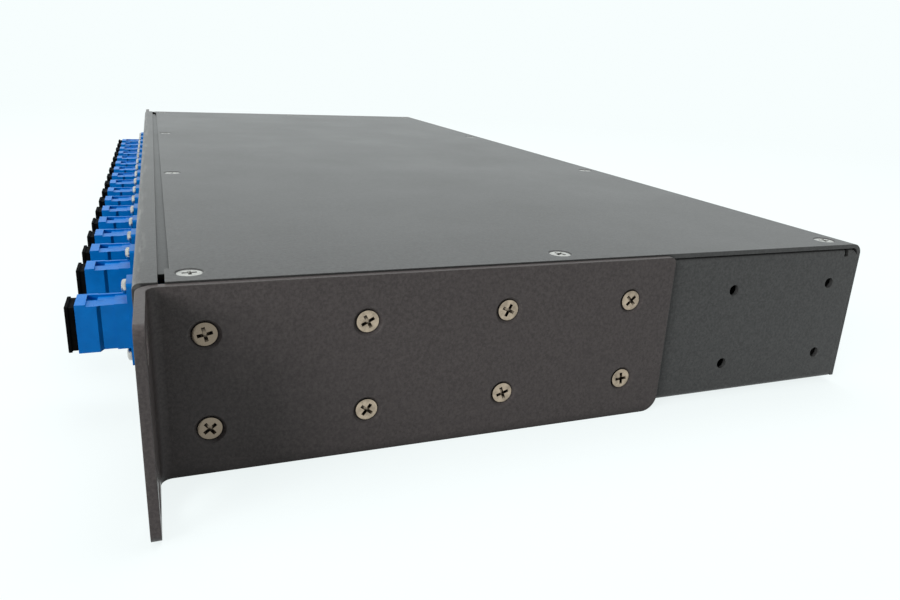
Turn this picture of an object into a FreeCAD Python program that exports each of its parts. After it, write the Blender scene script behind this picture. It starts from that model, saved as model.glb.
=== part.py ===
import FreeCAD, Part
import Sketcher
import math
import os

# A 1U splitter chassis for a 19-inch rack: a folded steel tray with a screwed
# cover and two rack ears, a row of simplex fibre adapters along its front wall,
# and inside it a splitter module with one pigtail to each adapter.
#
# Lengths are in millimetres. X runs to the right as seen from the front, Y runs
# from the front wall to the rear and Z up. Every piece is drawn with the front
# wall's face at Y = 0 and the tray's floor at Z = 0, and its Placement then
# moves it so that the part stands on Z = 0 with its middle over the origin.

sizes = {
    # folded tray and cover
    "body_w": 430.0,         # tray over its side walls
    "body_d": 200.0,         # front wall to the cover's rear leaf
    "body_high": 42.7,       # floor to the top of the cover
    "sheet": 1.2,            # tray sheet
    "cover_sheet": 1.2,      # cover sheet
    "bend_inner": 0.4,       # inner radius of the tray's bends
    "lip_deep": 5.0,         # front lip, from the front face to its step
    "ledge_reach": 18.0,     # front face to the inner edge of the ledge
    "ledge_end": 10.0,       # side face to the end of the ledge
    "flange_wide": 15.0,     # inner flanges along the sides and the rear
    "flange_front": 8.3,     # front face to the start of the side flanges
    "fold_gap": 0.6,         # gap left between two flanges that meet
    "seam_gap": 0.2,         # gap left between two walls that meet
    "relief_wide": 1.5,      # relief notch behind the side wall's top
    "relief_deep": 2.4,
    "relief_back": 4.2,      # rear face of the tray to the notch's middle
    "cover_front": 7.4,      # front face to the cover's front edge
    "tab_ahead": 1.0,        # how far the cover's corner tabs stand forward
    "cover_bend": 3.0,       # outer radius of the cover's rear bend
    "leaf_clear": 0.5,       # floor to the lower edge of the cover's rear leaf
    "bend_clear": 0.2,       # tray to the inside of the cover's bend
    # rack ears
    "ear_reach": 26.3,       # side wall to the ear's outer edge; 482.6 over both ears
    "ear_sheet": 2.0,
    "ear_high": 44.0,
    "ear_drop": 1.7,         # how far the ears reach below the floor
    "ear_long": 131.8,       # front face to the rear edge of the leaf
    "ear_back": 0.7,         # front face to the ear's own front face
    "ear_bend": 2.5,         # inner radius of the ear's bend
    "ear_corner": 3.0,       # outer corners of the rack flange
    "leaf_low_corner": 4.5,  # rear corners of the leaf
    "leaf_top_corner": 1.5,
    "slot_edge": 8.75,       # ear's outer edge to its slots' middle; 465.1 across
    "slot_rows": 31.75,      # between the two slots of one ear
    "slot_long": 10.5,
    "slot_wide": 7.0,
    # side hole grid and its screws
    "grid_front": 13.5,      # front face to the first hole column
    "grid_pitch": 35.3,
    "grid_columns": 6,
    "ear_columns": 4,        # columns that the ear leaf covers
    "grid_low": 9.1,         # floor to the lower hole row
    "grid_rows": 22.1,       # between the two rows
    # M3 countersunk screws
    "screw_dia": 3.0,
    "screw_long": 6.0,
    "thread_clear": 0.05,    # screw to the tapped hole, on the radius
    "shank_clear": 0.2,      # screw to a plain hole, on the radius
    "ear_head": 6.0,
    "ear_head_sunk": 0.3,    # ear screw heads lie below the leaf's face
    "ear_sink_dia": 7.0,
    "ear_sink_angle": 90.0,
    "cover_head": 5.8,
    "cover_head_sunk": 0.1,
    "cover_sink_dia": 6.2,
    "cover_sink_angle": 104.0,
    "cross_long": 3.2,
    "cross_wide": 0.7,
    "cross_deep": 0.9,
    "cover_side": 6.4,       # side face to the cover screws beside it
    "cover_row": 11.4,       # front face to the front row of cover screws
    "cover_rows_apart": 180.4,
    "cover_mid": 70.2,       # middle to the inner screws of a row
    # adapters
    "outputs": 16,
    "port_pitch": 21.0,
    "input_gap": 33.0,       # input adapter to the first output
    "port_high": 20.8,       # floor to the middle of the adapters
    "adapter_w": 9.3,
    "adapter_tall": 12.6,
    "adapter_reach": 14.8,   # front face to the mouth of an adapter
    "adapter_rear": 12.5,    # front face to its inner end
    "collar_long": 4.9,
    "waist_w": 8.6,
    "waist_tall": 11.6,
    "root_w": 9.0,
    "root_tall": 12.0,
    "root_long": 3.1,
    "flange_thick": 2.8,
    "flange_tall": 22.0,
    "flange_corner": 0.8,
    "cut_clear": 0.2,        # adapter to its cut-out
    "socket_w": 7.5,
    "socket_tall": 9.1,
    "socket_deep": 10.5,
    "sleeve_dia": 4.4,
    "sleeve_bore": 2.5,
    "sleeve_back": 4.5,      # mouth to the end of the sleeve
    "key_tall": 3.3,
    "key_long": 9.0,
    "ridge_w": 0.9,
    "notch_w": 3.4,
    "notch_long": 1.6,
    "notch_deep": 0.8,
    # adapter screws, M2 pan head
    "port_screw_rows": 18.3,
    "port_screw_dia": 2.0,
    "port_screw_long": 6.0,
    "port_head": 3.8,
    "port_head_tall": 1.3,
    # dust caps
    "cap_rim": 0.9,
    "cap_rim_w": 9.0,
    "cap_rim_tall": 12.0,
    "cap_neck": 1.4,
    "cap_neck_w": 8.5,
    "cap_neck_tall": 11.3,
    "cap_clear": 0.15,       # cap stub to the socket, on each side
    "cap_stub": 6.0,
    "cap_bore": 5.4,
    "cap_floor": 1.5,
    # pigtails and splitter module
    "plug_clear": 0.1,       # plug to the socket, on each side
    "plug_end_gap": 0.6,     # plug to the bottom of its socket
    "plug_long": 22.0,
    "ferrule_dia": 2.48,
    "ferrule_long": 3.2,     # how far the ferrule stands out of the plug
    "boot_dia": 6.0,
    "boot_tip": 2.6,
    "boot_long": 14.0,
    "fibre_dia": 0.9,
    "fibre_bend": 25.0,
    "fibre_lead": 4.0,       # straight run at each end of a fibre
    "fibre_fill": 0.95,      # share of its room that a fibre's bend may take
    "module_w": 100.0,
    "module_d": 80.0,
    "module_tall": 10.0,
    "module_corner": 3.0,
    "module_back": 5.0,      # rear wall to the module
    "module_pitch": 5.7,     # between two fibres where they enter the module
}

doc = FreeCAD.newDocument("splitter_chassis")
sheet = doc.addObject("Spreadsheet::Sheet", "dims")
for row, (name, value) in enumerate(sizes.items(), start=1):
    sheet.set(f"A{row}", name)
    sheet.set(f"B{row}", str(value))
    sheet.setAlias(f"B{row}", name)
doc.recompute()


def size(name):
    return float(sheet.get(name))


# expressions that several pieces share
frontY = "(dims.adapter_reach + dims.cap_neck + dims.cap_rim - dims.body_d) / 2"
floorZ = "dims.ear_drop"
halfW = "dims.body_w / 2"
earTip = "(dims.body_w / 2 + dims.ear_reach)"
shelfZ = "(dims.body_high - dims.cover_sheet)"     # top of the tray's flanges
rearY = "(dims.body_d - dims.cover_sheet)"         # rear face of the tray
bendOuter = "(dims.bend_inner + dims.sheet)"
coverInner = "(dims.cover_bend - dims.cover_sheet + dims.bend_clear)"
portX = "((dims.input_gap + (dims.outputs - 1) * dims.port_pitch) / 2)"

subParts = []


def place(piece, moveX="0", moveY="0", moveZ="0"):
    piece.setExpression(".Placement.Base.x", moveX)
    piece.setExpression(".Placement.Base.y", f"{frontY} + {moveY}")
    piece.setExpression(".Placement.Base.z", f"{floorZ} + {moveZ}")


def newBody(label):
    body = doc.addObject("PartDesign::Body", label)
    body.Label = label
    subParts.append(body)
    return body


def sketchOn(body, role, offset="0"):
    """role is XY_Plane, XZ_Plane (which faces -Y) or YZ_Plane."""
    sketch = body.newObject("Sketcher::SketchObject", "Sketch")
    plane = [item for item in body.Origin.OriginFeatures if item.Role == role][0]
    sketch.AttachmentSupport = (plane, [""])
    sketch.MapMode = "FlatFace"
    sketch.setExpression(".AttachmentOffset.Base.z", offset)
    return sketch


def polygon(sketch, points):
    """Closed outline through points, each a pair of expressions."""
    count = len(points)
    wheel = FreeCAD.Vector(10, 0, 0)      # the corners start on a circle
    upright = FreeCAD.Vector(0, 0, 1)
    start = [FreeCAD.Rotation(upright, 360 * k / count) * wheel for k in range(count)]
    first = sketch.GeometryCount
    lines = [Part.LineSegment(start[k], start[(k + 1) % count]) for k in range(count)]
    sketch.addGeometry(lines, False)
    rules = []
    for k in range(count):
        rules.append(Sketcher.Constraint("Coincident", first + k, 2, first + (k + 1) % count, 1))
    offset = sketch.ConstraintCount + len(rules)
    for k in range(count):
        rules.append(Sketcher.Constraint("DistanceX", -1, 1, first + k, 1, start[k].x))
        rules.append(Sketcher.Constraint("DistanceY", -1, 1, first + k, 1, start[k].y))
    sketch.addConstraint(rules)
    for k, (across, up) in enumerate(points):
        sketch.setExpression(f"Constraints[{offset + 2 * k}]", across)
        sketch.setExpression(f"Constraints[{offset + 2 * k + 1}]", up)


def rectangle(sketch, wide, tall, midX="0", midY="0"):
    left, right = f"{midX} - {wide} / 2", f"{midX} + {wide} / 2"
    low, high = f"{midY} - {tall} / 2", f"{midY} + {tall} / 2"
    polygon(sketch, [(left, low), (right, low), (right, high), (left, high)])


def circle(sketch, diameter, midX="0", midY="0"):
    middle = FreeCAD.Vector(1, 1, 0)
    number = sketch.addGeometry(Part.Circle(middle, FreeCAD.Vector(0, 0, 1), 1), False)
    offset = sketch.ConstraintCount
    sketch.addConstraint([
        Sketcher.Constraint("Diameter", number, 2),
        Sketcher.Constraint("DistanceX", -1, 1, number, 3, 1),
        Sketcher.Constraint("DistanceY", -1, 1, number, 3, 1),
    ])
    sketch.setExpression(f"Constraints[{offset}]", diameter)
    sketch.setExpression(f"Constraints[{offset + 1}]", midX)
    sketch.setExpression(f"Constraints[{offset + 2}]", midY)


def roundEndedSlot(sketch, long, wide, midX, midY):
    """Outline of a slot along X: two half circles joined by two tangent lines."""
    spot, axis = FreeCAD.Vector, FreeCAD.Vector(0, 0, 1)
    first = sketch.addGeometry([
        Part.ArcOfCircle(Part.Circle(spot(-5, 0), axis, 3), math.pi / 2, 3 * math.pi / 2),
        Part.LineSegment(spot(-5, -3), spot(5, -3)),
        Part.ArcOfCircle(Part.Circle(spot(5, 0), axis, 3), -math.pi / 2, math.pi / 2),
        Part.LineSegment(spot(5, 3), spot(-5, 3)),
    ], False)[0]
    offset = sketch.ConstraintCount
    joints = [Sketcher.Constraint("Tangent", first + k, 2, first + (k + 1) % 4, 1)
              for k in range(4)]
    sketch.addConstraint(joints + [
        Sketcher.Constraint("Radius", first, 3),
        Sketcher.Constraint("DistanceX", -1, 1, first, 3, -5),
        Sketcher.Constraint("DistanceY", -1, 1, first, 3, 1),
        Sketcher.Constraint("DistanceX", -1, 1, first + 2, 3, 5),
        Sketcher.Constraint("DistanceY", -1, 1, first + 2, 3, 1),
        Sketcher.Constraint("Equal", first, first + 2),
    ])
    half = f"({long} - {wide}) / 2"
    values = (f"{wide} / 2", f"{midX} - {half}", midY, f"{midX} + {half}", midY)
    for number, value in enumerate(values, start=offset + 4):
        sketch.setExpression(f"Constraints[{number}]", value)


def pad(body, sketch, length, reverse=False, bothWays=False):
    feature = body.newObject("PartDesign::Pad", "Pad")
    feature.Profile = sketch
    feature.SideType = "Symmetric" if bothWays else "One side"
    feature.Reversed = reverse
    feature.setExpression("Length", length)
    doc.recompute()
    return feature


def pocket(body, sketch, depth, reverse=False, bothWays=False):
    before = body.Shape.Volume
    feature = body.newObject("PartDesign::Pocket", "Pocket")
    feature.Profile = sketch
    feature.SideType = "Symmetric" if bothWays else "One side"
    feature.Reversed = reverse
    feature.setExpression("Length", depth)
    doc.recompute()
    if body.Shape.Volume > before - 1e-4:
        raise RuntimeError(f"{body.Label}: a pocket cuts nothing")
    return feature


def revolve(body, sketch, axis="V_Axis"):
    feature = body.newObject("PartDesign::Revolution", "Revolution")
    feature.Profile = sketch
    feature.ReferenceAxis = (sketch, [axis])
    feature.Angle = 360
    doc.recompute()
    return feature


def repeat(body, features, sketch, axis, length, count, axis2=None, length2="0", count2="1"):
    feature = body.newObject("PartDesign::LinearPattern", "LinearPattern")
    feature.Originals = features
    feature.Direction = (sketch, [axis])
    feature.setExpression("Length", length)
    feature.setExpression("Occurrences", count)
    if axis2:
        feature.Direction2 = (sketch, [axis2])
        feature.setExpression("Length2", length2)
        feature.setExpression("Occurrences2", count2)
    body.Tip = feature
    doc.recompute()
    return feature


def edgesWhere(body, test):
    """Names of the straight edges whose middle and direction pass the test."""
    names = []
    for number, edge in enumerate(body.Shape.Edges, start=1):
        if edge.Curve.TypeId != "Part::GeomLine":
            continue
        a, b = edge.Vertexes[0].Point, edge.Vertexes[-1].Point
        middle = (a + b) / 2 - body.Placement.Base
        if test(middle, (b - a).normalize()):
            names.append(f"Edge{number}")
    return names


def roundEdges(body, radius, test):
    base = body.Tip
    names = edgesWhere(body, test)
    if not names:
        raise RuntimeError(f"{body.Label}: no edge to round")
    feature = body.newObject("PartDesign::Fillet", "Fillet")
    feature.Base = (base, names)
    feature.setExpression("Radius", radius)
    doc.recompute()
    if not feature.isValid():
        raise RuntimeError(f"{body.Label}: {len(names)} edges can't be rounded")
    return feature


def near(a, b):
    return abs(a - b) < 0.01


def copyOf(master, label, moveX):
    """A body that repeats master at another place."""
    body = newBody(label)
    base = doc.addObject("PartDesign::FeatureBase", "Clone")
    base.BaseFeature = master
    body.Group = [base]
    body.Tip = base
    place(body, moveX=moveX, moveZ="dims.port_high")
    return body


def portPlace(number):
    """Expression for the X of port number: 0 is the input, the rest are outputs."""
    if number == 0:
        return portX
    return f"{portX} - dims.input_gap - {number - 1} * dims.port_pitch"


def portLabels(kind):
    outputs = int(size("outputs"))
    return [f"input_{kind}"] + [f"output_{kind}_{k:02d}" for k in range(1, outputs + 1)]


def chassisTray():
    """Floor, four walls and their inner flanges, folded from one sheet."""
    body = newBody("chassis_tray")
    place(body)

    sides = sketchOn(body, "XZ_Plane", "-(dims.sheet + dims.seam_gap)")
    inner, under = f"({halfW} - dims.flange_wide)", f"({shelfZ} - dims.sheet)"
    wall = f"({halfW} - dims.sheet)"
    polygon(sides, [
        (f"-{halfW}", "0"), (halfW, "0"), (halfW, shelfZ), (inner, shelfZ),
        (inner, under), (wall, under), (wall, "dims.sheet"), (f"-{wall}", "dims.sheet"),
        (f"-{wall}", under), (f"-{inner}", under), (f"-{inner}", shelfZ), (f"-{halfW}", shelfZ),
    ])
    pad(body, sides, f"{rearY} - dims.sheet - dims.seam_gap", reverse=True)

    # the side flanges stop short of the front ledge and of the rear flange
    ends = sketchOn(body, "XY_Plane", f"{shelfZ} + 1")
    rearEnd = f"({rearY} - dims.flange_wide - dims.fold_gap)"
    for side in ("", "-"):
        polygon(ends, [(f"{side}{wall}", "0"), (f"{side}{wall}", "dims.flange_front"),
                       (f"{side}({inner} - 1)", "dims.flange_front"), (f"{side}({inner} - 1)", "0")])
        polygon(ends, [(f"{side}{wall}", rearEnd), (f"{side}{wall}", f"{rearY} + 1"),
                       (f"{side}({inner} - 1)", f"{rearY} + 1"), (f"{side}({inner} - 1)", rearEnd)])
    pocket(body, ends, "dims.sheet + 1.5")

    # the walls' rear corners are cut off, clear of the cover's bend
    corner = sketchOn(body, "YZ_Plane")
    polygon(corner, [(rearY, f"{shelfZ} - {coverInner}"), (f"{rearY} + 1", shelfZ),
                     (f"{rearY} + 1", f"{shelfZ} + 1"), (f"{rearY} - {coverInner}", shelfZ)])
    pocket(body, corner, "dims.body_w + 2", bothWays=True)

    low, high = size("sheet"), size("body_high") - size("cover_sheet")
    outer = size("body_w") / 2
    roundEdges(body, bendOuter, lambda p, d: abs(d.y) > 0.9 and near(abs(p.x), outer))
    roundEdges(body, "dims.bend_inner", lambda p, d: abs(d.y) > 0.9
               and near(abs(p.x), outer - size("sheet"))
               and (near(p.z, low) or near(p.z, high - size("sheet"))))

    front = sketchOn(body, "YZ_Plane")
    step = "(dims.lip_deep - dims.sheet)"
    foot = "(dims.sheet + dims.seam_gap + dims.bend_inner)"
    polygon(front, [
        ("0", "0"), (foot, "0"), (foot, "dims.sheet"), ("dims.sheet", "dims.sheet"),
        ("dims.sheet", "dims.body_high - dims.sheet"), (step, "dims.body_high - dims.sheet"),
        (step, under), ("dims.lip_deep", under), ("dims.lip_deep", "dims.body_high"),
        ("0", "dims.body_high"),
    ])
    pad(body, front, "dims.body_w", bothWays=True)

    # the ledge ends short of the side walls and clear of the side flanges
    behind = "(dims.flange_front - dims.fold_gap)"
    for reach, across in ((behind, f"2 * ({halfW} - dims.ledge_end)"),
                          ("dims.ledge_reach", f"2 * ({inner} - dims.fold_gap)")):
        ledge = sketchOn(body, "YZ_Plane")
        polygon(ledge, [(step, under), (reach, under), (reach, shelfZ), (step, shelfZ)])
        pad(body, ledge, across, bothWays=True)

    rear = sketchOn(body, "YZ_Plane")
    polygon(rear, [
        (f"{rearY} - {foot}", "0"), (rearY, "0"), (rearY, shelfZ),
        (f"{rearY} - dims.flange_wide", shelfZ), (f"{rearY} - dims.flange_wide", under),
        (f"{rearY} - dims.sheet", under), (f"{rearY} - dims.sheet", "dims.sheet"),
        (f"{rearY} - {foot}", "dims.sheet"),
    ])
    pad(body, rear, "dims.body_w - 2 * (dims.sheet + dims.seam_gap)", bothWays=True)

    top, deep = size("body_high"), size("body_d") - size("cover_sheet")
    roundEdges(body, bendOuter, lambda p, d: abs(d.x) > 0.9
               and near(p.y, 0) and (near(p.z, 0) or near(p.z, top)))
    roundEdges(body, coverInner, lambda p, d: abs(d.x) > 0.9
               and near(p.y, deep) and near(p.z, high))

    for side, reverse in (("", False), ("-", True)):
        relief = sketchOn(body, "YZ_Plane", f"{side}{halfW}")
        rectangle(relief, "dims.relief_wide", "2 * dims.relief_deep",
                  f"({rearY} - dims.relief_back)", shelfZ)
        pocket(body, relief, "dims.sheet + dims.seam_gap / 2", reverse=reverse)

    portCuts(body)
    sideHoles(body)
    coverHoles(body)
    return body


def portCuts(body):
    """Cut-out and two tapped holes in the front wall for each adapter."""
    patterned = []
    for place0 in (portX, f"({portX} - dims.input_gap)"):
        cut = sketchOn(body, "XZ_Plane", "1")
        rectangle(cut, "(dims.adapter_w + 2 * dims.cut_clear)",
                  "(dims.adapter_tall + 2 * dims.cut_clear)", place0, "dims.port_high")
        for side in ("+", "-"):
            circle(cut, "dims.port_screw_dia + 2 * dims.thread_clear", place0,
                   f"dims.port_high {side} dims.port_screw_rows / 2")
        patterned.append((pocket(body, cut, "dims.sheet + 2"), cut))
    feature, cut = patterned[1]
    row = repeat(body, [feature], cut, "H_Axis", "(dims.outputs - 1) * dims.port_pitch",
                 "dims.outputs")
    row.Reversed = True
    doc.recompute()


def sideHoles(body):
    """The grid of tapped holes in both side walls."""
    hole = sketchOn(body, "YZ_Plane")
    circle(hole, "dims.screw_dia + 2 * dims.thread_clear", "dims.grid_front", "dims.grid_low")
    first = pocket(body, hole, "dims.body_w + 2", bothWays=True)
    repeat(body, [first], hole, "H_Axis", "(dims.grid_columns - 1) * dims.grid_pitch",
           "dims.grid_columns", "V_Axis", "dims.grid_rows", "2")


def coverHoles(body, diameter="dims.screw_dia + 2 * dims.thread_clear", depth="dims.sheet + 1"):
    """Holes for the cover screws: three along each side, four along each row."""
    side, back = f"({halfW} - dims.cover_side)", "dims.cover_row"
    for across, rows in ((side, "3"), ("dims.cover_mid", "2")):
        hole = sketchOn(body, "XY_Plane", f"{shelfZ} + 0.5")
        circle(hole, diameter, f"-{across}", back)
        first = pocket(body, hole, depth)
        repeat(body, [first], hole, "H_Axis", f"2 * {across}", "2",
               "V_Axis", "dims.cover_rows_apart", rows)


def topCover():
    """Top plate and rear leaf, folded from one sheet."""
    body = newBody("top_cover")
    place(body)
    section = sketchOn(body, "YZ_Plane")
    tabFront = "(dims.cover_front - dims.tab_ahead)"
    polygon(section, [
        (tabFront, shelfZ), (rearY, shelfZ), (rearY, "dims.leaf_clear"),
        ("dims.body_d", "dims.leaf_clear"), ("dims.body_d", "dims.body_high"),
        (tabFront, "dims.body_high"),
    ])
    pad(body, section, "dims.body_w", bothWays=True)

    shelf, deep = size("body_high") - size("cover_sheet"), size("body_d")
    roundEdges(body, "dims.cover_bend", lambda p, d: abs(d.x) > 0.9
               and near(p.y, deep) and near(p.z, size("body_high")))
    roundEdges(body, "dims.cover_bend - dims.cover_sheet", lambda p, d: abs(d.x) > 0.9
               and near(p.y, deep - size("cover_sheet")) and near(p.z, shelf))

    tabs = sketchOn(body, "XY_Plane", "dims.body_high")
    rectangle(tabs, f"(dims.body_w - 2 * dims.ledge_end)", "(2 * dims.tab_ahead)", "0", tabFront)
    pocket(body, tabs, "dims.cover_sheet + 1")

    for across, rows in ((f"({halfW} - dims.cover_side)", "3"), ("dims.cover_mid", "2")):
        sinkHoles(body, "XY_Plane", "dims.body_high", f"-{across}", "dims.cover_row", "cover",
                  "dims.cover_sheet", f"2 * {across}", "2", "dims.cover_rows_apart", rows)
    return body


def sinkHoles(body, role, offset, midX, midY, kind, thick, length, count, length2, count2):
    """A grid of countersunk holes in a sheet; kind is ear or cover."""
    hole = sketchOn(body, role, offset)
    circle(hole, "dims.screw_dia + 2 * dims.shank_clear", midX, midY)
    doc.recompute()
    feature = body.newObject("PartDesign::Hole", "Hole")
    feature.Profile = hole
    feature.DepthType = "Dimension"
    feature.DrillPoint = "Flat"
    feature.ThreadType = "None"
    feature.HoleCutType = "Countersink"
    feature.HoleCutCustomValues = True
    feature.setExpression("HoleCutCountersinkAngle", f"dims.{kind}_sink_angle")
    feature.setExpression("Diameter", "dims.screw_dia + 2 * dims.shank_clear")
    feature.setExpression("Depth", f"{thick} + 1")
    feature.setExpression("HoleCutDiameter", f"dims.{kind}_sink_dia")
    doc.recompute()
    repeat(body, [feature], hole, "H_Axis", length, count, "V_Axis", length2, count2)


def rackEars():
    """A folded ear on each side: a leaf screwed to the side wall and a rack flange."""
    body = newBody("rack_ear_right")
    place(body)
    outline = sketchOn(body, "XY_Plane", "-dims.ear_drop")
    leaf = f"({halfW} + dims.ear_sheet)"
    back = "(dims.ear_back + dims.ear_sheet)"
    polygon(outline, [(halfW, "dims.ear_back"), (earTip, "dims.ear_back"), (earTip, back),
                      (leaf, back), (leaf, "dims.ear_long"), (halfW, "dims.ear_long")])
    pad(body, outline, "dims.ear_high")

    inside, front = size("body_w") / 2, size("ear_back")
    tip = inside + size("ear_reach")
    low, high = -size("ear_drop"), size("ear_high") - size("ear_drop")
    roundEdges(body, "dims.ear_bend", lambda p, d: abs(d.z) > 0.9
               and near(p.x, inside + size("ear_sheet")) and near(p.y, front + size("ear_sheet")))
    roundEdges(body, "dims.ear_bend + dims.ear_sheet", lambda p, d: abs(d.z) > 0.9
               and near(p.x, inside) and near(p.y, front))
    roundEdges(body, "dims.ear_corner", lambda p, d: abs(d.y) > 0.9
               and near(p.x, tip) and (near(p.z, low) or near(p.z, high)))
    roundEdges(body, "dims.leaf_low_corner", lambda p, d: abs(d.x) > 0.9
               and near(p.y, size("ear_long")) and near(p.z, low))
    roundEdges(body, "dims.leaf_top_corner", lambda p, d: abs(d.x) > 0.9
               and near(p.y, size("ear_long")) and near(p.z, high))

    # two round-ended slots for the rack's screws
    slot = sketchOn(body, "XZ_Plane")
    roundEndedSlot(slot, "dims.slot_long", "dims.slot_wide", f"({earTip} - dims.slot_edge)",
                   "(dims.ear_high / 2 - dims.ear_drop - dims.slot_rows / 2)")
    cut = pocket(body, slot, f"{back} + 1")
    repeat(body, [cut], slot, "V_Axis", "dims.slot_rows", "2")

    sinkHoles(body, "YZ_Plane", leaf, "dims.grid_front", "dims.grid_low", "ear",
              "dims.ear_sheet", "(dims.ear_columns - 1) * dims.grid_pitch", "dims.ear_columns",
              "dims.grid_rows", "2")
    return mirrored(body, "rack_ear_left")


def mirrored(source, label):
    """The left-hand twin of a right-hand piece."""
    twin = doc.addObject("Part::Mirroring", label)
    twin.Label = label
    twin.Source = source
    twin.Base = FreeCAD.Vector(0, 0, 0)
    twin.Normal = FreeCAD.Vector(1, 0, 0)
    subParts.append(twin)
    doc.recompute()
    return twin


def screwGroup(label):
    """Body for a group of separate, identical screws."""
    body = newBody(label)
    body.AllowCompound = True
    place(body)
    return body


def sunkScrew(body, role, face, midX, midY, kind):
    """Countersunk M3 screw with a cross recess; kind is ear or cover."""
    top = f"{face} - dims.{kind}_head_sunk"
    head = sketchOn(body, role, top)
    circle(head, f"dims.{kind}_head", midX, midY)
    slope = f"tan(dims.{kind}_sink_angle / 2 * 1 deg)"
    cone = pad(body, head, f"(dims.{kind}_head - dims.screw_dia) / 2 / {slope}", reverse=True)
    cone.setExpression("TaperAngle", f"-dims.{kind}_sink_angle / 2")
    stem = sketchOn(body, role, top)
    circle(stem, "dims.screw_dia", midX, midY)
    shank = pad(body, stem, "dims.screw_long", reverse=True)

    cross = sketchOn(body, role, top)
    arm, web = "dims.cross_long / 2", "dims.cross_wide / 2"
    corners = ((arm, web, "+", "+"), (web, web, "+", "+"), (web, arm, "+", "+"),
               (web, arm, "-", "+"), (web, web, "-", "+"), (arm, web, "-", "+"),
               (arm, web, "-", "-"), (web, web, "-", "-"), (web, arm, "-", "-"),
               (web, arm, "+", "-"), (web, web, "+", "-"), (arm, web, "+", "-"))
    polygon(cross, [(f"{midX} {signX} {along}", f"{midY} {signY} {up}")
                    for along, up, signX, signY in corners])
    recess = pocket(body, cross, "dims.cross_deep")
    return [cone, shank, recess], head


def earScrews():
    """The right ear's screws and their mirrored twins."""
    body = screwGroup("ear_screws_right")
    features, head = sunkScrew(body, "YZ_Plane", f"{halfW} + dims.ear_sheet",
                               "dims.grid_front", "dims.grid_low", "ear")
    repeat(body, features, head, "H_Axis", "(dims.ear_columns - 1) * dims.grid_pitch",
           "dims.ear_columns", "V_Axis", "dims.grid_rows", "2")
    return mirrored(body, "ear_screws_left")


def coverScrews():
    body = screwGroup("cover_screws")
    for across, rows in ((f"({halfW} - dims.cover_side)", "3"), ("dims.cover_mid", "2")):
        features, head = sunkScrew(body, "XY_Plane", "dims.body_high", f"-{across}",
                                   "dims.cover_row", "cover")
        repeat(body, features, head, "H_Axis", f"2 * {across}", "2",
               "V_Axis", "dims.cover_rows_apart", rows)
    return body


def adapterScrews():
    """Two pan-head screws through the flange of each adapter."""
    body = screwGroup("adapter_screws")
    low = "dims.port_high - dims.port_screw_rows / 2"
    for midX, columns in ((portX, "1"), (f"({portX} - dims.input_gap)", "dims.outputs")):
        head = sketchOn(body, "XZ_Plane", "dims.flange_thick")
        circle(head, "dims.port_head", midX, low)
        top = pad(body, head, "dims.port_head_tall")
        stem = sketchOn(body, "XZ_Plane", "dims.flange_thick")
        circle(stem, "dims.port_screw_dia", midX, low)
        shank = pad(body, stem, "dims.port_screw_long", reverse=True)
        rows = repeat(body, [top, shank], head, "H_Axis", "(dims.outputs - 1) * dims.port_pitch",
                      columns, "V_Axis", "dims.port_screw_rows", "2")
        rows.Reversed = True
        doc.recompute()
    return body


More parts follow.
